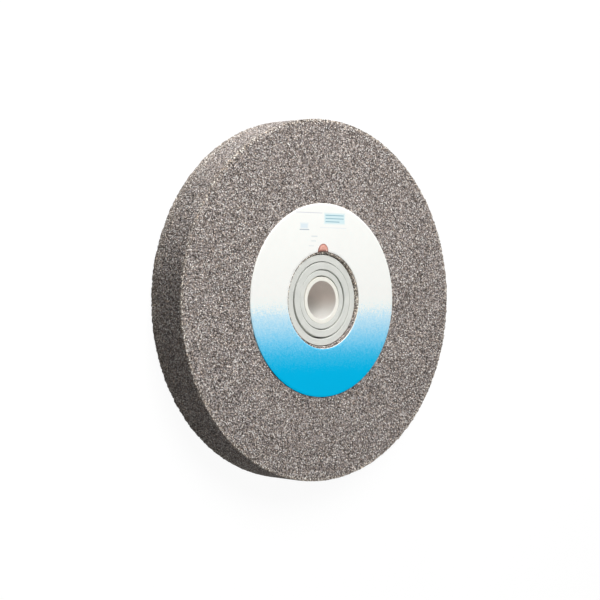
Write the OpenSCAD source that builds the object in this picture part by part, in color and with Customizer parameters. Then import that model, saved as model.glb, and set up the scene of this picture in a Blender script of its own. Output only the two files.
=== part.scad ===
// Bench grinding wheel with its paper blotters and the nest of reducing bushes in its hole.
// The wheel lies flat with its printed side up, and the origin is its centre: +Z is the spindle
// axis, out of the printed side, and +Y is the top of the print. Lengths are in millimetres.

/* [Abrasive wheel] */
// Outer diameter of the abrasive wheel
wheel_d = 125; // [100:1:200]
// Thickness of the abrasive wheel, from face to face
wheel_t = 16; // [10:0.5:32]
// Diameter of the hole moulded through the abrasive
hole_d = 32; // [30:0.1:36]
// Width of the broken edges round the rim
rim_edge = 0.2; // [0.1:0.1:2]
// Width of the broken edges round the hole
hole_edge = 0.3; // [0.1:0.1:0.5]

/* [Paper blotters] */
// Outer diameter of each blotter
blotter_d = 67; // [50:0.1:90]
// How much wider a blotter's hole is than the hole in the abrasive
blotter_relief = 1.6; // [0.8:0.1:4]
// Thickness of each blotter's paper
blotter_t = 0.4; // [0.2:0.05:1]

/* [Reducing bushes] */
// Wall of the outer bush, which fills the hole in the abrasive
outer_wall = 2.35; // [2.3:0.05:4]
// Wall of the middle bush
middle_wall = 2.5; // [1.6:0.05:3]
// Wall of the inner bush
inner_wall = 1.85; // [1.2:0.05:2.5]
// Wall of the arbor bush, which leaves a bore for a 12.7 mm spindle
arbor_wall = 1.5; // [1:0.05:2.5]
// Depth of every bush's ends below the faces of the abrasive
bush_recess = 0.7; // [0.1:0.1:1.5]
// Radius round the rims of the outer, middle and inner bushes
bush_round = 0.2; // [0.1:0.05:0.5]
// Radius round the rims of the arbor bush
arbor_round = 0.15; // [0.1:0.05:0.4]

/* [Fits] */
// Play of the outer bush in the abrasive, on the diameter
outer_play = 0.5; // [0.1:0.05:0.6]
// Play of the middle bush in the outer bush, on the diameter
middle_play = 0.8; // [0.8:0.05:1.2]
// Play of the inner bush in the middle bush, on the diameter
inner_play = 0.65; // [0.2:0.05:0.65]
// Play of the arbor bush in the inner bush, on the diameter
arbor_play = 0.4; // [0.1:0.05:0.45]
// Gap that is left where a loose bush has settled against its seat
touch_gap = 0.01; // [0.005:0.005:0.03]

/* [Hidden] */
$fn = 180;

wheel_face_z = wheel_t / 2;
bush_t = wheel_t - 2 * bush_recess;

// Each bush is as large as the bore round it allows, and its wall gives the next bore
outer_bush_d = hole_d - outer_play;
outer_bore_d = outer_bush_d - 2 * outer_wall;
middle_bush_d = outer_bore_d - middle_play;
middle_bore_d = middle_bush_d - 2 * middle_wall;
inner_bush_d = middle_bore_d - inner_play;
inner_bore_d = inner_bush_d - 2 * inner_wall;
arbor_bush_d = inner_bore_d - arbor_play;
arbor_bore_d = arbor_bush_d - 2 * arbor_wall;

// The loose bushes lie against one another's bores, the middle one up to the right, the inner one
// to the left and the arbor bush down, so that the arbor bush ends on the wheel's own axis
inner_settle = inner_play / 2 - touch_gap;
arbor_settle = arbor_play / 2 - touch_gap;
middle_at = [inner_settle, arbor_settle];
inner_at = [0, arbor_settle];

// Section of a ring whose corners are cut off at 45 degrees
module bevelled_section(outer_r, inner_r, length, outer_edge, inner_edge) {
    half = length / 2;
    polygon([
        [inner_r, half - inner_edge], [inner_r + inner_edge, half],
        [outer_r - outer_edge, half], [outer_r, half - outer_edge],
        [outer_r, outer_edge - half], [outer_r - outer_edge, -half],
        [inner_r + inner_edge, -half], [inner_r, inner_edge - half]
    ]);
}

// Section of a ring whose corners are rounded
module rounded_section(outer_r, inner_r, length, corner_r) {
    wall = outer_r - inner_r;
    r = min(corner_r, wall / 3);
    translate([inner_r + r, -length / 2]) square([wall - 2 * r, length]);
    translate([inner_r, r - length / 2]) square([wall, length - 2 * r]);
    for (x = [inner_r + r, outer_r - r], y = [r - length / 2, length / 2 - r])
        translate([x, y]) circle(r = r, $fn = 48);
}

// Plastic bush with rounded rims, centred at a point of the wheel's middle plane
module bush(outer_d, bore_d, corner_r, at = [0, 0]) {
    translate([at.x, at.y, 0])
        rotate_extrude()
            rounded_section(outer_d / 2, bore_d / 2, bush_t, corner_r);
}

// Flat paper ring that lies on the abrasive
module blotter() {
    difference() {
        cylinder(d = blotter_d, h = blotter_t);
        translate([0, 0, -blotter_t]) cylinder(d = hole_d + blotter_relief, h = 3 * blotter_t);
    }
}

module abrasive_wheel() {
    color([0.54, 0.5, 0.48])
        rotate_extrude()
            bevelled_section(wheel_d / 2, hole_d / 2, wheel_t, rim_edge, hole_edge);
}

module front_blotter() {
    color([0.5, 0.8, 0.93])
        translate([0, 0, wheel_face_z]) blotter();
}

module rear_blotter() {
    color([0.93, 0.95, 0.93])
        translate([0, 0, -wheel_face_z - blotter_t]) blotter();
}

module outer_bush() {
    color([0.85, 0.85, 0.83]) bush(outer_bush_d, outer_bore_d, bush_round);
}

module middle_bush() {
    color([0.8, 0.8, 0.78]) bush(middle_bush_d, middle_bore_d, bush_round, middle_at);
}

module inner_bush() {
    color([0.83, 0.83, 0.81]) bush(inner_bush_d, inner_bore_d, bush_round, inner_at);
}

module arbor_bush() {
    color([0.94, 0.93, 0.88]) bush(arbor_bush_d, arbor_bore_d, arbor_round);
}

abrasive_wheel();
front_blotter();
rear_blotter();
outer_bush();
middle_bush();
inner_bush();
arbor_bush();
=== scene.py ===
"""Looks of the bench grinding wheel: grainy abrasive, printed paper, turned plastic bushes.

Lengths are in metres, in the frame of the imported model: the wheel lies flat, +Z is the spindle
axis out of the printed side, and +Y is the top of the print.
"""

import math

import bpy
import numpy as np
from mathutils import Matrix, Vector


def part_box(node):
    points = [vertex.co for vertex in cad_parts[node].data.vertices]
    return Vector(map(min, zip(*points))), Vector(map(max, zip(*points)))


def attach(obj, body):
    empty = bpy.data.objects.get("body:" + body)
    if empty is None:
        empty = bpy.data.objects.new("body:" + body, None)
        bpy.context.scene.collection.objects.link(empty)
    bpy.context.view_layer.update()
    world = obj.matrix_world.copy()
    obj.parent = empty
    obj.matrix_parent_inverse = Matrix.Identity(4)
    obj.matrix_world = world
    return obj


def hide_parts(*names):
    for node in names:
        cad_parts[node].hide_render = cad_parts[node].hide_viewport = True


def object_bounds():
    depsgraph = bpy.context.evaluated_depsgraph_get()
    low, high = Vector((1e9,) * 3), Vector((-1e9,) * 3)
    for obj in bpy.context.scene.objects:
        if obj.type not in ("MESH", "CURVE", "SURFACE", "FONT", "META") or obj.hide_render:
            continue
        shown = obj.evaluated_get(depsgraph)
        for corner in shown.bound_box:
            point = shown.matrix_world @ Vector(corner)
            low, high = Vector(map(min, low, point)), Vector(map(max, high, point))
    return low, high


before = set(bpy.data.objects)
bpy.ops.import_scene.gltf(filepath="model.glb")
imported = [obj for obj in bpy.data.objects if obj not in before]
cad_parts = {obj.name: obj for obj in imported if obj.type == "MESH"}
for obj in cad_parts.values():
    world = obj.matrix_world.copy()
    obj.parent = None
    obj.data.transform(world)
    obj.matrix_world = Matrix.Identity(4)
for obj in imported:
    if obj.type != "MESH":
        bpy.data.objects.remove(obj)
cad_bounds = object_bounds()

MM = 0.001
BODY = "root"

# The camera, as the photograph's edges give it
IMAGE_PX = 600
FOCAL_PX = 1765.6
SENSOR_MM = 36
# The centre of the wheel's front face as the camera sees it: right, up and away from it
FACE_CENTRE = Vector((0.00803, -0.00008, -0.6108))
WHEEL_YAW = math.radians(42.25)
WHEEL_PITCH = math.radians(0.67)
CLIP_START = 0.01

# The lamps: name, direction from the wheel, distance, size and watts
LAMPS = [
    ("top_softbox", Vector((-0.04, 0.99, 0.07)), 0.7, 0.1, 4.0),
    ("front_softbox", Vector((-0.08, 0.574, 0.819)), 0.5, 0.36, 2.55),
]

# The sky and the floor, as light that bounces sees them and as the camera sees them
AMBIENT = 0.17
SKY_WHITE = 1.0
FLOOR_SIZE = 4.0
FLOOR_DROP = 0.02 * MM
FLOOR_GLOW = 0.94
FLOOR_WHITE = 0.09
FLOOR_BOUNCE = 0.24

# The abrasive's grain
FRONT_GRAIN = 0.44 * MM
RIM_GRAIN = 0.44 * MM
REAR_GRAIN = 0.8 * MM
MOUTH_GRAIN = 0.4 * MM
HIDDEN_GRAIN = 2.4 * MM
GRAIN_DEPTH = 0.3 * MM
# Most grains stand a little proud and a few lie deep: the power that skews their depths, and
# the part of the depth that stands proud
GRAIN_SKEW = 2.6
GRAIN_PROUD = 0.28
# How far a grain strays sideways, as a share of the spacing, and between which shares it turns
GRAIN_STRAY = 0.3
GRAIN_TURN = (0.1, 0.9)
# How rough each part of the wheel is, as a share of the grains' depth
FACE_ROUGH = 1
RIM_ROUGH = 0.9
EDGE_ROUGH = 0.8
WALL_ROUGH = 0.6
HIDDEN_ROUGH = 0.1
# How far the rim's grains stand out beyond the solid's rim
RIM_PROUD = 0.08 * MM
GRAIN_SEED = 7
# The rim's edges are nearly sharp, with small chips along them
EDGE_CUT = 0.03 * MM
EDGE_CHIPS = 700
CHIP_DEPTH = 0.16 * MM
CHIP_REACH = 0.8 * MM
CHIP_WIDTHS = (0.3 * MM, 1.3 * MM)
# The hole's mouths, as deep as they show above the bushes
MOUTH_EDGE = 0.25 * MM
MOUTH_DEPTH = 1.6 * MM
# How far the coarse hidden grains start inside the paper's two edges
UNDER_PAPER_BORE = 0.5 * MM
UNDER_PAPER_RIM = 1 * MM

# Every bump below is a strength and a height, and every gloss a specular level
# Noise fills the wide range, and two colours blend over the narrow one
NOISE_RANGE = (0.3, 0.7)
TONE_RANGE = (0.35, 0.65)

# The abrasive's cells of colour: grains and the finer grains laid over them
GRAIN_CELL = 0.32 * MM
FINE_CELL = 0.2 * MM
FINE_SHARE = 0.26
GRAIN_TONES = [
    (0.06, (24, 22, 20)),
    (0.26, (78, 72, 69)),
    (0.52, (133, 124, 120)),
    (0.76, (180, 170, 165)),
    (0.88, (218, 210, 204)),
    (0.95, (250, 245, 239)),
]
# Some grains are warmer and some colder than the others
WARMTHS = [(0.0, (1.12, 0.99, 0.84, 1)), (0.5, (1, 1, 1, 1)), (1.0, (0.94, 1.0, 1.08, 1))]
WARMTH_SHARE = 0.8
# Size, detail, lowest and highest shade of the wide blotches
BLOTCHES = (7 * MM, 3, 0.94, 1.06)
# Which cells are open pores, and how far from a cell's middle the pore ends
PORE_CELL = 0.8 * MM
PORE_SHARES = (0.62, 0.66)
PORE_EDGE = (0.18, 0.4)
PORE_DARKNESS = 0.88
PORE_COLOUR = (50, 46, 42)
# Which cells are pale crystals painted near white as painted sparkle, and how far from a cell's
# middle each ends
GLINT_CELL = 0.42 * MM
GLINT_SHARES = (0.865, 0.875)
GLINT_EDGE = (0.38, 0.5)
GLINT_COLOUR = (255, 253, 248)
# The palest grains are smoother: between which tones, and the roughness below and above them
SMOOTH_TONES = (0.84, 0.95)
GRAIN_ROUGHNESS = (0.82, 0.34)
GRAIN_GLOSS = 0.3
GRAIN_BUMP = (0.45, 0.12 * MM)
# Painted light on the rim, paler along its front edge and over its rear part: depths inside the
# rim, depths behind the front face, and the rear part
RIM_LIGHT_DEPTHS = (1.4 * MM, 0.4 * MM)
RIM_LIGHT_FRONT = (1.8 * MM, 0.2 * MM)
RIM_LIGHT_REAR_START = 0.25
RIM_LIGHT_REAR_END = 1 * MM
RIM_LIGHT_REAR_SHARE = 0.8
RIM_LIGHT_TINT = (1.24, 1.24, 1.19, 1)
# Painted light on the shaded wall of the hole: depths behind the wall, and the heights between
# which it grows
MOUTH_LIGHT_EDGE = (0.7 * MM, 0.9 * MM)
MOUTH_LIGHT_RISE = (-9 * MM, -1 * MM)
MOUTH_LIGHT_TINT = (1.45, 1.45, 1.35, 1)

# The plastic bushes' turned ends
GROOVE_PITCH = 0.42 * MM
GROOVE_DEPTH = 0.012 * MM
GROOVE_STEP = 0.07 * MM
# How unevenly the grooves follow one another and how unevenly deep they are
GROOVE_SPACING = (0.5, 1.5)
GROOVE_DEPTHS = (0.2, 1)
BUSH_SEGMENTS = 300
BUSH_CORNER = 0.2 * MM
ARBOR_CORNER = 0.15 * MM
CORNER_ANGLES = (15, 30, 45, 60, 75)
# The grey bushes, each with the seed of its grooves
BUSHES = [("outer_bush", 20), ("middle_bush", 21), ("inner_bush", 22)]
ARBOR_SEED = 25

# The plastic: dark and light colour and roughness of each kind
GREY_PLASTIC = ((210, 212, 206), (227, 228, 222), 0.42)
IVORY_PLASTIC = ((239, 237, 226), (249, 247, 238), 0.36)
# Size and detail of its clouds and of the lathe's fine rings, and the rings' share of the tone
CLOUDS = (4 * MM, 3)
LATHE_RINGS = (0.28 * MM, 4)
LATHE_SHARE = 0.6
LATHE_ROUGHNESS = (-0.05, 0.08)
PLASTIC_GLOSS = 0.4
PLASTIC_BUMP = (0.15, 0.02 * MM)
# Painted light and shade in the ivory bush's bore: a brighter tint for its lit lower half and a
# warm darker one for its shaded upper half, and where one ends
PLAIN = (1, 1, 1, 1)
BORE_LIGHT_AND_SHADE = ((1.03, 1.04, 1.09, 1), (1.02, 0.94, 0.96, 1))
BORE_LIT_AND_SHADED_HALVES = (-4 * MM, 1 * MM)
BORE_LIGHT_EDGE = (0.02 * MM, 0.12 * MM)

# The paper
PAPER_SEGMENTS = 360
PAPER_RINGS = 26
PAPER_WAVE = 0.05 * MM
PAPER_LOBES = (2, 3, 5, 8, 13)
PAPER_EDGE = 0.08 * MM
# Where the rounding's middle point lies, and how near the outside a point belongs to the face
PAPER_EDGE_MIDDLE = 0.3 * PAPER_EDGE
PAPER_FACE_DEPTH = 1.1 * PAPER_EDGE
SHARP_ANGLE = math.radians(50)
FRONT_PAPER_SEED = 11
REAR_PAPER_SEED = 12
# Size and detail of its fibres, drawn out sideways, and how much they change its roughness
FIBRE_STRETCH = (1, 3.2, 1)
FIBRES = (0.9 * MM, 6)
FIBRE_ROUGHNESS = 0.06
FIBRE_BUMP = (0.12, 0.03 * MM)
# Size, detail, lowest and highest shade of its mottle
MOTTLE = (3 * MM, 3, 0.985, 1.0)
# The plain paper's dark and light colour and the size and detail of its speckle
PLAIN_PAPER = ((236, 238, 233), (246, 247, 243))
SPECKLE = (1.2 * MM, 4)
PLAIN_ROUGHNESS = 0.6
PLAIN_GLOSS = 0.3

# The printed paper's blue: the heights where it starts and is full, and its inks on the way
FADE = (2 * MM, -28 * MM)
FADE_INKS = [
    (0.0, (248, 248, 244)),
    (0.14, (242, 248, 245)),
    (0.25, (201, 234, 249)),
    (0.45, (151, 216, 245)),
    (0.57, (111, 205, 243)),
    (0.7, (58, 191, 236)),
    (0.86, (0, 185, 235)),
]
# Size, detail, least and most of its clouds and of its dots
FADE_CLOUDS = (1.2 * MM, 3, -0.035, 0.035)
FADE_DOTS = (0.34 * MM, 1, -0.07, 0.07)
PRINTED_ROUGHNESS = 0.55
PRINTED_GLOSS = 0.04
# The bare cut edge round the hole
CUT_EDGE = (0.03 * MM, 0.08 * MM)
CUT_COLOUR = (240, 238, 232)

# The print above the hole: centre, half the width and height, softness and ink of each field
PRINT = [
    ((4.75 * MM, 28.3 * MM), (4.8 * MM, 1.8 * MM), 0.35 * MM, (214, 236, 240)),
    ((4.75 * MM, 29.4 * MM), (4.3 * MM, 0.13 * MM), 0.05 * MM, (138, 178, 192)),
    ((4.75 * MM, 28.3 * MM), (4.3 * MM, 0.13 * MM), 0.05 * MM, (138, 178, 192)),
    ((3.75 * MM, 27.2 * MM), (3.3 * MM, 0.13 * MM), 0.05 * MM, (138, 178, 192)),
    ((-7.3 * MM, 30.1 * MM), (6.2 * MM, 0.08 * MM), 0.06 * MM, (196, 197, 210)),
    ((-9.5 * MM, 25.5 * MM), (1.7 * MM, 0.9 * MM), 0.4 * MM, (222, 234, 240)),
    ((-9.4 * MM, 24.2 * MM), (2.2 * MM, 0.11 * MM), 0.06 * MM, (150, 166, 182)),
    ((4.1 * MM, 25.1 * MM), (6.2 * MM, 0.08 * MM), 0.08 * MM, (228, 234, 238)),
    ((-4.7 * MM, 22.0 * MM), (1.4 * MM, 0.2 * MM), 0.1 * MM, (222, 228, 229)),
    ((-5.1 * MM, 20.4 * MM), (1.1 * MM, 0.18 * MM), 0.1 * MM, (228, 233, 233)),
    ((-6.1 * MM, 18.7 * MM), (1.2 * MM, 0.18 * MM), 0.1 * MM, (232, 236, 236)),
]

# The dab of paint above the hole
DAB_AT = (-0.6 * MM, 17.7 * MM)
DAB_HALF_WIDTH = 2.45 * MM
DAB_HEIGHT = 2.85 * MM
DAB_THICK = 0.45 * MM
DAB_SUNK = 0.06 * MM
DAB_SEGMENTS = 64
DAB_RINGS = 10
DAB_SEED = 3
# The outline's wobble, its waves a turn and the latest angle they start at, the dome's power
DAB_WOBBLE = 0.04
DAB_WAVES = 2
DAB_PHASE = 6
DAB_DOME = 3
# Size and detail of its patches, and their dark and light colour
PATCHES = (0.8 * MM, 3)
PAINT_COLOURS = ((207, 144, 127), (224, 170, 155))
# Its brown outline, as shares of the way out, and the width of the brown band along its lower edge
BROWN_OUTLINE = (0.72, 0.92)
BROWN_EDGE = 1 * MM
BROWN_COLOUR = (128, 78, 66)
# A painted highlight on the paint: place across and above the hole's edge, half its sides, and
# softness
HIGHLIGHT_AT = (0.8 * MM, 0.4 * MM)
HIGHLIGHT_HALF = (0.25 * MM, 0.25 * MM)
HIGHLIGHT_SOFT = 0.1 * MM
HIGHLIGHT_COLOUR = (236, 214, 202)
PAINT_ROUGHNESS = 0.5
PAINT_GLOSS = 0.5
PAINT_BUMP = (0.4, 0.05 * MM)


def srgb(red, green, blue, alpha=1.0):
    """A colour from its 0 to 255 values, as the linear values that a shader takes."""
    values = [c / 255 for c in (red, green, blue)]
    linear = [c / 12.92 if c <= 0.04045 else ((c + 0.055) / 1.055) ** 2.4 for c in values]
    return (*linear, alpha)


def unit(vector):
    return vector / vector.length


# Meshes


def mesh_object(name, points, faces, material, smooth=False):
    """An object of these points and faces that rides on the wheel."""
    mesh = bpy.data.meshes.new(name)
    mesh.from_pydata([tuple(p) for p in points], [], faces)
    mesh.materials.append(material)
    if smooth:
        mesh.shade_smooth()
    else:
        mesh.shade_flat()
    mesh.update()
    piece = bpy.data.objects.new(name, mesh)
    bpy.context.scene.collection.objects.link(piece)
    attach(piece, BODY)
    return piece


def node_points(node):
    """A CAD node's vertices as an array, in the row frame."""
    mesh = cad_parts[node].data
    flat = np.empty(len(mesh.vertices) * 3)
    mesh.vertices.foreach_get("co", flat)
    return flat.reshape(-1, 3)


def ring_sizes(node):
    """(centre x and y, bore radius, outer radius, lowest z, highest z) of a ring-shaped node."""
    low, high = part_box(node)
    centre = np.array([(low[0] + high[0]) / 2, (low[1] + high[1]) / 2])
    radii = np.hypot(*(node_points(node)[:, :2] - centre).T)
    return centre, radii.min(), (high[0] - low[0]) / 2, low[2], high[2]


def stitch(first, first_turns, second, second_turns):
    """Triangles between two closed rings of points, given their first indices and their places
    round the ring as turns that start near 0 and rise to under 1."""
    faces = []
    a, b = 0, 0
    count_a, count_b = len(first_turns), len(second_turns)
    while a < count_a or b < count_b:
        next_a = first_turns[a + 1] if a + 1 < count_a else first_turns[0] + 1
        next_b = second_turns[b + 1] if b + 1 < count_b else second_turns[0] + 1
        here_a = first + a % count_a
        here_b = second + b % count_b
        if b >= count_b or (a < count_a and next_a <= next_b):
            faces.append((here_a, first + (a + 1) % count_a, here_b))
            a += 1
        else:
            faces.append((here_a, second + (b + 1) % count_b, here_b))
            b += 1
    return faces


def revolve(profile, segments, centre=(0, 0)):
    """Points and quads of a closed section of (radius, z) points turned about Z."""
    turns = np.arange(segments) / segments * 2 * math.pi
    radii, heights = np.array(profile).T
    x = centre[0] + np.outer(radii, np.cos(turns))
    y = centre[1] + np.outer(radii, np.sin(turns))
    z = np.repeat(heights[:, None], segments, axis=1)
    points = np.stack([x, y, z], axis=-1).reshape(-1, 3)
    faces = []
    for row in range(len(profile)):
        below = row * segments
        above = (row + 1) % len(profile) * segments
        for k in range(segments):
            after = (k + 1) % segments
            faces.append((below + k, above + k, above + after, below + after))
    return points, faces


# The abrasive wheel


def spread(start, end, step):
    """Places from start up to, but without, end, about step apart."""
    count = max(1, round(abs(end - start) / step))
    return [start + (end - start) * k / count for k in range(count)]


def wheel_section(bore_r, rim_r, half, mouth_r, paper_r):
    """The wheel's section as rings of (radius, z, inward normal, spacing, roughness), from the
    front of the hole outwards over the rim and back under the rear face."""
    rings = []
    down, inwards, up, outwards = (0, -1), (-1, 0), (0, 1), (1, 0)
    slant = math.sqrt(0.5)
    for r in spread(bore_r + MOUTH_EDGE, mouth_r, MOUTH_GRAIN):
        rings.append((r, half, down, MOUTH_GRAIN, EDGE_ROUGH))
    for r in spread(mouth_r, paper_r, HIDDEN_GRAIN / 2):
        rings.append((r, half, down, HIDDEN_GRAIN / 2, HIDDEN_ROUGH))
    for r in spread(paper_r, rim_r - FRONT_GRAIN / 2, FRONT_GRAIN):
        rings.append((r, half, down, FRONT_GRAIN, FACE_ROUGH))
    proud_r = rim_r + RIM_PROUD
    rings.append((proud_r - EDGE_CUT, half - EDGE_CUT, (-slant, -slant), RIM_GRAIN, EDGE_ROUGH))
    for z in spread(half - RIM_GRAIN / 2, RIM_GRAIN / 2 - half, RIM_GRAIN):
        rings.append((proud_r, z, inwards, RIM_GRAIN, RIM_ROUGH))
    rings.append((proud_r - EDGE_CUT, EDGE_CUT - half, (-slant, slant), RIM_GRAIN, EDGE_ROUGH))
    for r in spread(rim_r - REAR_GRAIN / 2, paper_r, REAR_GRAIN):
        rings.append((r, -half, up, REAR_GRAIN, FACE_ROUGH))
    for r in spread(paper_r, mouth_r, HIDDEN_GRAIN / 2):
        rings.append((r, -half, up, HIDDEN_GRAIN / 2, HIDDEN_ROUGH))
    for r in spread(mouth_r, bore_r + MOUTH_EDGE, MOUTH_GRAIN):
        rings.append((r, -half, up, MOUTH_GRAIN, EDGE_ROUGH))
    for z in spread(MOUTH_EDGE - half, MOUTH_DEPTH - half, MOUTH_GRAIN):
        rings.append((bore_r, z, outwards, MOUTH_GRAIN, WALL_ROUGH))
    for z in spread(MOUTH_DEPTH - half, half - MOUTH_DEPTH, HIDDEN_GRAIN):
        rings.append((bore_r, z, outwards, HIDDEN_GRAIN, HIDDEN_ROUGH))
    for z in spread(half - MOUTH_DEPTH, half - MOUTH_EDGE, MOUTH_GRAIN):
        rings.append((bore_r, z, outwards, MOUTH_GRAIN, WALL_ROUGH))
    return rings


def edge_chips(random, turns, rim_r):
    """How deep the crumbled edge is at these places round the rim, from 0 to 1."""
    depth = np.zeros(len(turns))
    places = random.random(EDGE_CHIPS)
    widths = random.uniform(*CHIP_WIDTHS, EDGE_CHIPS) / (2 * math.pi * rim_r)
    deeps = random.random(EDGE_CHIPS) ** 2
    for place, width, deep in zip(places, widths, deeps):
        away = np.abs((turns - place + 0.5) % 1 - 0.5) / width
        depth = np.maximum(depth, deep * np.clip(1 - away**2, 0, 1))
    return depth


def grain_depths(random, count):
    """How far grains lie below the nominal face: most stand a little proud, a few lie deep."""
    return GRAIN_DEPTH * (random.random(count) ** GRAIN_SKEW - GRAIN_PROUD)


def abrasive_mesh(material):
    """The abrasive wheel as one closed skin of grains, each a small facet of its own."""
    random = np.random.default_rng(GRAIN_SEED)
    _, bore_r, rim_r, low, high = ring_sizes("abrasive_wheel")
    _, paper_bore_r, paper_rim_r, _, _ = ring_sizes("front_blotter")
    half = (high - low) / 2
    mouth_r = paper_bore_r + UNDER_PAPER_BORE
    rings = wheel_section(bore_r, rim_r, half, mouth_r, paper_rim_r - UNDER_PAPER_RIM)
    points, firsts, turns_of = [], [], []
    for radius, z, normal, spacing, rough in rings:
        count = round(2 * math.pi * radius / spacing)
        turns = (np.arange(count) + random.uniform(*GRAIN_TURN, count)) / count
        jitter = random.uniform(-GRAIN_STRAY, GRAIN_STRAY, count) * spacing * rough
        depth = rough * grain_depths(random, count)
        near_edge = math.hypot(rim_r - radius, half - abs(z))
        if near_edge < CHIP_REACH:
            chip = CHIP_DEPTH * (1 - near_edge / CHIP_REACH) * edge_chips(random, turns, rim_r)
        else:
            chip = np.zeros(count)
        along_r, along_z = abs(normal[1]), abs(normal[0])
        r = radius + normal[0] * depth - chip + along_r * jitter
        height = z + normal[1] * depth - math.copysign(1, z) * chip + along_z * jitter
        angle = turns * 2 * math.pi
        firsts.append(sum(len(t) for t in turns_of))
        turns_of.append(turns)
        points.append(np.stack([r * np.cos(angle), r * np.sin(angle), height], axis=-1))
    faces = []
    for k in range(len(rings)):
        after = (k + 1) % len(rings)
        faces += stitch(firsts[k], turns_of[k], firsts[after], turns_of[after])
    piece = mesh_object("abrasive_grain", np.concatenate(points), faces, material)
    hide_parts("abrasive_wheel")
    return piece


# The paper blotters


def paper_mesh(name, node, material, seed):
    """A paper ring with softened cut edges and a face that isn't quite flat."""
    random = np.random.default_rng(seed)
    _, bore_r, rim_r, low, high = ring_sizes(node)
    outside = high if high > 0 else low
    inside = low if high > 0 else high
    side = math.copysign(1, outside)
    profile = [(bore_r, inside), (bore_r, outside - side * PAPER_EDGE)]
    profile += [(bore_r + PAPER_EDGE_MIDDLE, outside - side * PAPER_EDGE_MIDDLE)]
    face = np.linspace(bore_r + PAPER_EDGE, rim_r - PAPER_EDGE, PAPER_RINGS)
    profile += [(r, outside) for r in face]
    profile += [(rim_r - PAPER_EDGE_MIDDLE, outside - side * PAPER_EDGE_MIDDLE)]
    profile += [(rim_r, outside - side * PAPER_EDGE), (rim_r, inside)]
    points, faces = revolve(profile, PAPER_SEGMENTS)
    angle = np.arctan2(points[:, 1], points[:, 0])
    radius = np.hypot(points[:, 0], points[:, 1])
    wave = np.zeros(len(points))
    for lobes in PAPER_LOBES:
        phase, twist = random.uniform(0, 2 * math.pi, 2)
        wave += np.cos(lobes * angle + phase + twist * radius / rim_r) / lobes
    wave = (wave - wave.max()) / (wave.max() - wave.min())
    on_face = np.abs(points[:, 2] - outside) < PAPER_FACE_DEPTH
    points[on_face, 2] += side * PAPER_WAVE * wave[on_face]
    if side < 0:
        faces = [face[::-1] for face in faces]
    piece = mesh_object(name, points, faces, material, smooth=True)
    piece.data.set_sharp_from_angle(angle=SHARP_ANGLE)
    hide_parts(node)
    return piece


# The plastic bushes


def corner_points(centre_r, centre_z, corner, quarters):
    """A section's rounded corner about this centre, turned by this many quarters."""
    points = []
    for angle in CORNER_ANGLES:
        out, up = math.cos(math.radians(angle)), math.sin(math.radians(angle))
        for _ in range(quarters):
            out, up = -up, out
        points.append((centre_r + corner * out, centre_z + corner * up))
    return points


def bush_section(random, bore_r, rim_r, low, high, corner):
    """A bush's section: straight walls, rounded rims and a front end with fine turned grooves."""
    inner, outer = bore_r + corner, rim_r - corner
    bottom, top = low + corner, high - corner
    section = [(rim_r, bottom), (rim_r, top)]
    section += corner_points(outer, top, corner, 0)
    face = np.arange(outer, inner, -GROOVE_STEP)
    walk = np.cumsum(random.uniform(*GROOVE_SPACING, len(face))) * GROOVE_STEP / GROOVE_PITCH
    depths = random.uniform(*GROOVE_DEPTHS, len(face))
    dips = GROOVE_DEPTH * (0.5 + 0.5 * np.cos(2 * math.pi * walk)) * depths
    section += [(r, high - dip) for r, dip in zip(face, dips)]
    section += corner_points(inner, top, corner, 1)
    section += [(bore_r, top), (bore_r, bottom)]
    section += corner_points(inner, bottom, corner, 2)
    section += [(inner, low), (outer, low)]
    section += corner_points(outer, bottom, corner, 3)
    return section


def bush_mesh(node, material, corner, seed):
    """A turned bush in its own place in the nest."""
    random = np.random.default_rng(seed)
    centre, bore_r, rim_r, low, high = ring_sizes(node)
    section = bush_section(random, bore_r, rim_r, low, high, corner)
    points, faces = revolve(section, BUSH_SEGMENTS, centre)
    faces = [face[::-1] for face in faces]
    piece = mesh_object(node + "_turned", points, faces, material, smooth=True)
    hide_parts(node)
    return piece


# The dab of paint


def paint_dab(material):
    """A thick half-round dab of marking paint on the paper, cut off along the hole's edge."""
    _, hole_r, _, _, paper_z = ring_sizes("front_blotter")
    random = np.random.default_rng(DAB_SEED)
    waves = np.arange(DAB_SEGMENTS) / DAB_SEGMENTS * 2 * math.pi * DAB_WAVES
    wobble = 1 + DAB_WOBBLE * np.sin(waves + random.uniform(0, DAB_PHASE))
    outline = []
    for k in range(DAB_SEGMENTS):
        angle = 2 * math.pi * k / DAB_SEGMENTS
        x = DAB_AT[0] + DAB_HALF_WIDTH * math.cos(angle) * wobble[k]
        y = hole_r + DAB_HEIGHT * math.sin(angle) * wobble[k]
        outline.append((x, max(y, math.sqrt(hole_r**2 - x**2))))
    base = paper_z - DAB_SUNK
    points = [(*DAB_AT, base + DAB_THICK)]
    for ring in range(1, DAB_RINGS + 1):
        share = ring / DAB_RINGS
        z = base + DAB_THICK * math.sqrt(max(0, 1 - share**DAB_DOME))
        for x, y in outline:
            out_x = DAB_AT[0] + (x - DAB_AT[0]) * share
            out_y = DAB_AT[1] + (y - DAB_AT[1]) * share
            points.append((out_x, out_y, z))
    faces = [(0, 1 + k, 1 + (k + 1) % DAB_SEGMENTS) for k in range(DAB_SEGMENTS)]
    for ring in range(DAB_RINGS - 1):
        inner, outer = 1 + ring * DAB_SEGMENTS, 1 + (ring + 1) * DAB_SEGMENTS
        for k in range(DAB_SEGMENTS):
            after = (k + 1) % DAB_SEGMENTS
            faces.append((inner + k, outer + k, outer + after, inner + after))
    last = 1 + (DAB_RINGS - 1) * DAB_SEGMENTS
    faces.append(tuple(last + k for k in reversed(range(DAB_SEGMENTS))))
    piece = mesh_object("paint_dab", points, faces, material, smooth=True)
    return piece


# Materials


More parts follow.
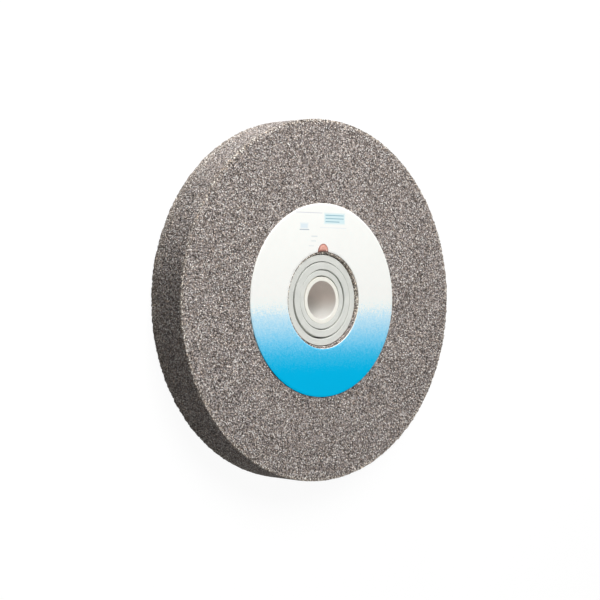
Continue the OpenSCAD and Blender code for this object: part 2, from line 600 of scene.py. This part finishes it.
def add(tree, kind, inputs=None, **settings):
    """A shader node with its settings, its inputs each a value or another node's output."""
    node = tree.nodes.new(kind)
    for name, value in settings.items():
        setattr(node, name, value)
    for name, value in (inputs or {}).items():
        if isinstance(value, bpy.types.NodeSocket):
            tree.links.new(value, node.inputs[name])
        else:
            node.inputs[name].default_value = value
    return node


def new_material(name):
    """An empty material, its node tree and its object coordinates."""
    material = bpy.data.materials.new(name)
    material.use_nodes = True
    tree = material.node_tree
    tree.nodes.clear()
    place = add(tree, "ShaderNodeTexCoord").outputs["Object"]
    return material, tree, place


def finish_material(tree, shader):
    output = add(tree, "ShaderNodeOutputMaterial")
    tree.links.new(shader, output.inputs["Surface"])


def math_node(tree, operation, first, second=0.0, clamp=False):
    node = add(tree, "ShaderNodeMath", {0: first, 1: second}, operation=operation, use_clamp=clamp)
    return node.outputs[0]


def blend_values(tree, first, first_share, second, second_share):
    """The sum of two values, each times its share."""
    scaled = math_node(tree, "MULTIPLY", second, second_share)
    inputs = {0: first, 1: first_share, 2: scaled}
    return add(tree, "ShaderNodeMath", inputs, operation="MULTIPLY_ADD").outputs[0]


def grey_value(tree, value):
    """A value as a grey colour."""
    return add(tree, "ShaderNodeCombineColor", {0: value, 1: value, 2: value}).outputs[0]


def split_place(tree, place):
    """The X, Y and Z of a place."""
    return add(tree, "ShaderNodeSeparateXYZ", {"Vector": place}).outputs


def split_colour(tree, cells):
    """The red, green and blue of the cells' random colours."""
    return add(tree, "ShaderNodeSeparateColor", {"Color": cells.outputs["Color"]}).outputs


def axis_distance(tree, parts):
    """Distance from the spindle axis of a place in its parts."""
    flat = add(tree, "ShaderNodeCombineXYZ", {"X": parts["X"], "Y": parts["Y"]}).outputs[0]
    return add(tree, "ShaderNodeVectorMath", {0: flat}, operation="LENGTH").outputs["Value"]


def voronoi(tree, place, cell):
    return add(tree, "ShaderNodeTexVoronoi", {"Vector": place, "Scale": 1 / cell})


def noise(tree, place, size, detail):
    inputs = {"Vector": place, "Scale": 1 / size, "Detail": detail}
    return add(tree, "ShaderNodeTexNoise", inputs).outputs["Fac"]


def ramp(tree, factor, stops):
    """A colour ramp through (place, colour) stops."""
    node = add(tree, "ShaderNodeValToRGB", {"Fac": factor})
    elements = node.color_ramp.elements
    while len(elements) < len(stops):
        elements.new(0.5)
    for element, (place, colour) in zip(elements, stops):
        element.position = place
        element.color = colour
    return node.outputs["Color"]


def spread_values(tree, factor, low, high, to_low=0.0, to_high=1.0, smooth=False):
    """The factor mapped from one range to another, held within it."""
    inputs = {"Value": factor, 1: low, 2: high, 3: to_low, 4: to_high}
    kind = "SMOOTHSTEP" if smooth else "LINEAR"
    return add(tree, "ShaderNodeMapRange", inputs, interpolation_type=kind).outputs["Result"]


def mix(tree, factor, first, second, blend="MIX"):
    node = add(tree, "ShaderNodeMix", data_type="RGBA", blend_type=blend)
    for name, value in (("Factor_Float", factor), ("A_Color", first), ("B_Color", second)):
        socket = next(s for s in node.inputs if s.identifier == name)
        if isinstance(value, bpy.types.NodeSocket):
            tree.links.new(value, socket)
        else:
            socket.default_value = value
    return next(s for s in node.outputs if s.identifier == "Result_Color")


def uneven(tree, place, size, detail, low, high):
    """Noise of this size and detail, spread from the low to the high value."""
    return spread_values(tree, noise(tree, place, size, detail), *NOISE_RANGE, low, high)


def near_axis(tree, parts, radius, edge):
    """1 inside this radius, then fading to 0 between the edge's two widths."""
    distance = axis_distance(tree, parts)
    return spread_values(tree, distance, radius + edge[0], radius + edge[1], 1, 0)


def bump(tree, height, strength, distance):
    inputs = {"Height": height, "Strength": strength, "Distance": distance}
    return add(tree, "ShaderNodeBump", inputs).outputs["Normal"]


def principled(tree, colour, roughness, gloss, normal):
    """The material's surface."""
    inputs = {
        "Base Color": colour,
        "Roughness": roughness,
        "Specular IOR Level": gloss,
        "Normal": normal,
    }
    shader = add(tree, "ShaderNodeBsdfPrincipled", inputs)
    finish_material(tree, shader.outputs[0])


def abrasive_material(rim_r, half, bore_r):
    """Vitrified grains: light and dark specks, open pores, and a few pale crystals painted near
    white as painted sparkle.
    """
    material, tree, place = new_material("vitrified_abrasive")
    tint = split_colour(tree, voronoi(tree, place, GRAIN_CELL))
    fine_tint = split_colour(tree, voronoi(tree, place, FINE_CELL))
    speck = blend_values(tree, tint[0], 1 - FINE_SHARE, fine_tint[0], FINE_SHARE)
    colour = ramp(tree, speck, [(at, srgb(*tone)) for at, tone in GRAIN_TONES])
    colour = mix(tree, WARMTH_SHARE, colour, ramp(tree, tint[1], WARMTHS), "MULTIPLY")
    blotches = uneven(tree, place, *BLOTCHES)
    colour = mix(tree, 1.0, colour, grey_value(tree, blotches), "MULTIPLY")
    pores = voronoi(tree, place, PORE_CELL)
    kept = spread_values(tree, split_colour(tree, pores)[2], *PORE_SHARES)
    inside = spread_values(tree, pores.outputs["Distance"], *PORE_EDGE, 1, 0, smooth=True)
    hole = math_node(tree, "MULTIPLY", inside, kept)
    darkness = math_node(tree, "MULTIPLY", hole, PORE_DARKNESS)
    colour = mix(tree, darkness, colour, srgb(*PORE_COLOUR))
    # Painted sparkle: a few pale crystals painted near white
    glints = voronoi(tree, place, GLINT_CELL)
    kept = spread_values(tree, split_colour(tree, glints)[1], *GLINT_SHARES)
    inside = spread_values(tree, glints.outputs["Distance"], *GLINT_EDGE, 1, 0)
    colour = mix(tree, math_node(tree, "MULTIPLY", inside, kept), colour, srgb(*GLINT_COLOUR))
    parts = split_place(tree, place)
    # Painted light: the rim made paler along its front edge and over its rear part
    colour = mix(tree, rim_painted_light(tree, parts, rim_r, half), colour, RIM_LIGHT_TINT, "MULTIPLY")
    # Painted light: the hole's shaded wall and mouth made paler
    colour = mix(tree, mouth_painted_light(tree, parts, bore_r), colour, MOUTH_LIGHT_TINT, "MULTIPLY")
    roughness = spread_values(tree, speck, *SMOOTH_TONES, *GRAIN_ROUGHNESS)
    normal = bump(tree, math_node(tree, "SUBTRACT", speck, hole), *GRAIN_BUMP)
    principled(tree, colour, roughness, GRAIN_GLOSS, normal)
    return material


def rim_painted_light(tree, parts, rim_r, half):
    """Painted light on the rim: how much paler it is along its front edge and over its rear part.
    """
    starts, ends = RIM_LIGHT_DEPTHS
    on_rim = spread_values(tree, axis_distance(tree, parts), rim_r - starts, rim_r - ends)
    starts, ends = RIM_LIGHT_FRONT
    front = spread_values(tree, parts["Z"], half - starts, half - ends)
    rear_start = -half * RIM_LIGHT_REAR_START
    rear = spread_values(tree, parts["Z"], rear_start, RIM_LIGHT_REAR_END - half, 0, RIM_LIGHT_REAR_SHARE)
    return math_node(tree, "MULTIPLY", on_rim, math_node(tree, "MAXIMUM", front, rear))


def mouth_painted_light(tree, parts, bore_r):
    """Painted light on the hole's shaded wall and mouth: paler towards its upper and middle part.
    """
    on_wall = near_axis(tree, parts, bore_r, MOUTH_LIGHT_EDGE)
    return math_node(tree, "MULTIPLY", on_wall, spread_values(tree, parts["Y"], *MOUTH_LIGHT_RISE))


def bar_mask(tree, parts, centre, half, soft):
    """1 inside an upright bar about this centre, 0 outside it."""
    away_x = math_node(tree, "ABSOLUTE", math_node(tree, "SUBTRACT", parts["X"], centre[0]))
    away_y = math_node(tree, "ABSOLUTE", math_node(tree, "SUBTRACT", parts["Y"], centre[1]))
    over_x = math_node(tree, "SUBTRACT", away_x, half[0])
    over_y = math_node(tree, "SUBTRACT", away_y, half[1])
    return spread_values(tree, math_node(tree, "MAXIMUM", over_x, over_y), -soft, soft, 1, 0)


def paper_surface(tree, place, colour, roughness, gloss):
    """Coated paper of a colour, with fibres in its gloss and relief and a faint mottle."""
    inputs = {"Vector": place, "Scale": FIBRE_STRETCH}
    stretched = add(tree, "ShaderNodeMapping", inputs).outputs[0]
    fibres = noise(tree, stretched, *FIBRES)
    mottle = uneven(tree, place, *MOTTLE)
    colour = mix(tree, 1.0, colour, grey_value(tree, mottle), "MULTIPLY")
    smoothest, roughest = roughness - FIBRE_ROUGHNESS, roughness + FIBRE_ROUGHNESS
    rough = spread_values(tree, fibres, *NOISE_RANGE, smoothest, roughest)
    principled(tree, colour, rough, gloss, bump(tree, fibres, *FIBRE_BUMP))


def printed_paper_material(bore_r):
    """White paper whose lower half fades into blue, with plain rules and fields above the hole."""
    material, tree, place = new_material("printed_paper")
    parts = split_place(tree, place)
    fade = spread_values(tree, parts["Y"], *FADE)
    fade = math_node(tree, "ADD", fade, uneven(tree, place, *FADE_CLOUDS))
    fade = math_node(tree, "ADD", fade, uneven(tree, place, *FADE_DOTS))
    colour = ramp(tree, fade, [(at, srgb(*ink)) for at, ink in FADE_INKS])
    for centre, half, soft, ink in PRINT:
        colour = mix(tree, bar_mask(tree, parts, centre, half, soft), colour, srgb(*ink))
    cut = near_axis(tree, parts, bore_r, CUT_EDGE)
    colour = mix(tree, cut, colour, srgb(*CUT_COLOUR))
    paper_surface(tree, place, colour, PRINTED_ROUGHNESS, PRINTED_GLOSS)
    return material


def plain_paper_material():
    material, tree, place = new_material("plain_paper")
    speckle = spread_values(tree, noise(tree, place, *SPECKLE), *TONE_RANGE)
    colour = mix(tree, speckle, *(srgb(*tone) for tone in PLAIN_PAPER))
    paper_surface(tree, place, colour, PLAIN_ROUGHNESS, PLAIN_GLOSS)
    return material


def plastic_material(name, kind, bore_r=0.0, bore_light_and_shade=(PLAIN, PLAIN)):
    """Moulded plastic with a slight cloud of colour and fine rings from the lathe; in the bore of
    this radius, painted light on its lower half and painted shade on its upper half."""
    material, tree, place = new_material(name)
    dark, light, roughness = kind
    parts = split_place(tree, place)
    lines = add(tree, "ShaderNodeCombineXYZ", {"X": axis_distance(tree, parts)}).outputs[0]
    rings = noise(tree, lines, *LATHE_RINGS)
    cloud = noise(tree, place, *CLOUDS)
    tone = blend_values(tree, rings, LATHE_SHARE, cloud, 1 - LATHE_SHARE)
    colour = mix(tree, spread_values(tree, tone, *TONE_RANGE), srgb(*dark), srgb(*light))
    # Painted light on the bore's lower half and painted shade on its upper half
    tint = mix(tree, spread_values(tree, parts["Y"], *BORE_LIT_AND_SHADED_HALVES), *bore_light_and_shade)
    lit_and_shaded = mix(tree, 1.0, colour, tint, "MULTIPLY")
    colour = mix(tree, near_axis(tree, parts, bore_r, BORE_LIGHT_EDGE), colour, lit_and_shaded)
    smoothest, roughest = roughness + LATHE_ROUGHNESS[0], roughness + LATHE_ROUGHNESS[1]
    rough = spread_values(tree, rings, *NOISE_RANGE, smoothest, roughest)
    principled(tree, colour, rough, PLASTIC_GLOSS, bump(tree, rings, *PLASTIC_BUMP))
    return material


def paint_material(bore_r):
    """Dried salmon paint, brown towards its outline and its lower edge, with a painted highlight
    on one pale speck.
    """
    material, tree, place = new_material("mark_paint")
    parts = split_place(tree, place)
    patch = noise(tree, place, *PATCHES)
    dark, light = (srgb(*tone) for tone in PAINT_COLOURS)
    colour = mix(tree, spread_values(tree, patch, *TONE_RANGE), dark, light)
    across = math_node(tree, "SUBTRACT", parts["X"], DAB_AT[0])
    across = math_node(tree, "DIVIDE", across, DAB_HALF_WIDTH)
    up = math_node(tree, "SUBTRACT", parts["Y"], bore_r)
    up = math_node(tree, "DIVIDE", up, DAB_HEIGHT)
    out = add(tree, "ShaderNodeCombineXYZ", {"X": across, "Y": up}).outputs[0]
    out = add(tree, "ShaderNodeVectorMath", {0: out}, operation="LENGTH").outputs["Value"]
    near_outline = spread_values(tree, out, *BROWN_OUTLINE, smooth=True)
    low = spread_values(tree, parts["Y"], bore_r + BROWN_EDGE, bore_r, smooth=True)
    brown = math_node(tree, "MAXIMUM", near_outline, low)
    colour = mix(tree, brown, colour, srgb(*BROWN_COLOUR))
    # Painted highlight: a pale speck on the paint
    highlight_at = (HIGHLIGHT_AT[0], bore_r + HIGHLIGHT_AT[1])
    speck = bar_mask(tree, parts, highlight_at, HIGHLIGHT_HALF, HIGHLIGHT_SOFT)
    colour = mix(tree, speck, colour, srgb(*HIGHLIGHT_COLOUR))
    principled(tree, colour, PAINT_ROUGHNESS, PAINT_GLOSS, bump(tree, patch, *PAINT_BUMP))
    return material


# The studio


def seen_directly(tree):
    """1 for what the camera, a reflection or a clear piece sees, 0 for light that bounces."""
    path = add(tree, "ShaderNodeLightPath").outputs
    seen = math_node(tree, "ADD", path["Is Camera Ray"], path["Is Glossy Ray"], clamp=True)
    return math_node(tree, "ADD", seen, path["Is Transmission Ray"], clamp=True)


def floor_material():
    """White to the camera with the wheel's shadow kept, and dim to light that bounces."""
    material, tree, _ = new_material("studio_floor")
    glow = add(tree, "ShaderNodeEmission", {"Strength": FLOOR_GLOW}).outputs[0]
    pale = add(tree, "ShaderNodeBsdfDiffuse", {"Color": (FLOOR_WHITE,) * 3 + (1,)}).outputs[0]
    white = add(tree, "ShaderNodeAddShader", {0: glow, 1: pale}).outputs[0]
    dim = add(tree, "ShaderNodeBsdfDiffuse", {"Color": (FLOOR_BOUNCE,) * 3 + (1,)}).outputs[0]
    both = add(tree, "ShaderNodeMixShader", {0: seen_directly(tree), 1: dim, 2: white})
    finish_material(tree, both.outputs[0])
    return material


def floor():
    low = cad_bounds[0][2] - FLOOR_DROP
    half = FLOOR_SIZE / 2
    mesh = bpy.data.meshes.new("floor")
    corners = [(-half, -half, low), (half, -half, low), (half, half, low), (-half, half, low)]
    mesh.from_pydata(corners, [], [(0, 1, 2, 3)])
    mesh.materials.append(floor_material())
    plane = bpy.data.objects.new("floor", mesh)
    bpy.context.scene.collection.objects.link(plane)


def surroundings():
    """An even dim sky, which the camera sees as white."""
    world = bpy.data.worlds.new("studio")
    world.use_nodes = True
    tree = world.node_tree
    tree.nodes.clear()
    strength = spread_values(tree, seen_directly(tree), 0, 1, AMBIENT, SKY_WHITE)
    sky = add(tree, "ShaderNodeBackground", {"Color": (1, 1, 1, 1), "Strength": strength})
    output = add(tree, "ShaderNodeOutputWorld")
    tree.links.new(sky.outputs[0], output.inputs["Surface"])
    bpy.context.scene.world = world


def lamp(name, towards, distance, size, watts):
    """A round softbox in this direction from the wheel, aimed at it."""
    data = bpy.data.lights.new(name, "AREA")
    data.shape = "DISK"
    data.size = size
    data.energy = watts
    light = bpy.data.objects.new(name, data)
    towards = unit(towards)
    light.location = towards * distance
    light.rotation_euler = (-towards).to_track_quat("-Z", "Y").to_euler()
    bpy.context.scene.collection.objects.link(light)


def camera():
    """The photograph's camera: the wheel's turn and place in its view give its own place."""
    axis = Vector(
        (
            math.sin(WHEEL_YAW) * math.cos(WHEEL_PITCH),
            -math.sin(WHEEL_PITCH),
            math.cos(WHEEL_YAW) * math.cos(WHEEL_PITCH),
        )
    )
    top = Vector((0, 1, 0))
    top = unit(top - axis * axis.dot(top))
    right = top.cross(axis)
    wheel_in_view = Matrix((right, top, axis)).transposed()
    view_in_wheel = wheel_in_view.transposed()
    face = Vector((0, 0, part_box("abrasive_wheel")[1][2]))
    place = face - view_in_wheel @ FACE_CENTRE
    data = bpy.data.cameras.new("camera")
    data.sensor_width = SENSOR_MM
    data.lens = FOCAL_PX / IMAGE_PX * SENSOR_MM
    data.clip_start = CLIP_START
    eye = bpy.data.objects.new("camera", data)
    eye.matrix_world = Matrix.Translation(place) @ view_in_wheel.to_4x4()
    bpy.context.scene.collection.objects.link(eye)
    bpy.context.scene.camera = eye


camera()
for settings in LAMPS:
    lamp(*settings)
surroundings()
floor()
bpy.context.scene.view_settings.view_transform = "Standard"

_, wheel_bore_r, wheel_rim_r, _, wheel_front = ring_sizes("abrasive_wheel")
_, paper_bore_r, _, _, _ = ring_sizes("front_blotter")
_, arbor_bore_r, _, _, _ = ring_sizes("arbor_bush")

abrasive_mesh(abrasive_material(wheel_rim_r, wheel_front, wheel_bore_r))
printed = printed_paper_material(paper_bore_r)
paper_mesh("front_paper", "front_blotter", printed, FRONT_PAPER_SEED)
plain = plain_paper_material()
paper_mesh("rear_paper", "rear_blotter", plain, REAR_PAPER_SEED)
grey = plastic_material("grey_plastic", GREY_PLASTIC)
ivory = plastic_material("ivory_plastic", IVORY_PLASTIC, arbor_bore_r, BORE_LIGHT_AND_SHADE)
for bush, bush_seed in BUSHES:
    bush_mesh(bush, grey, BUSH_CORNER, bush_seed)
bush_mesh("arbor_bush", ivory, ARBOR_CORNER, ARBOR_SEED)
paint_dab(paint_material(paper_bore_r))
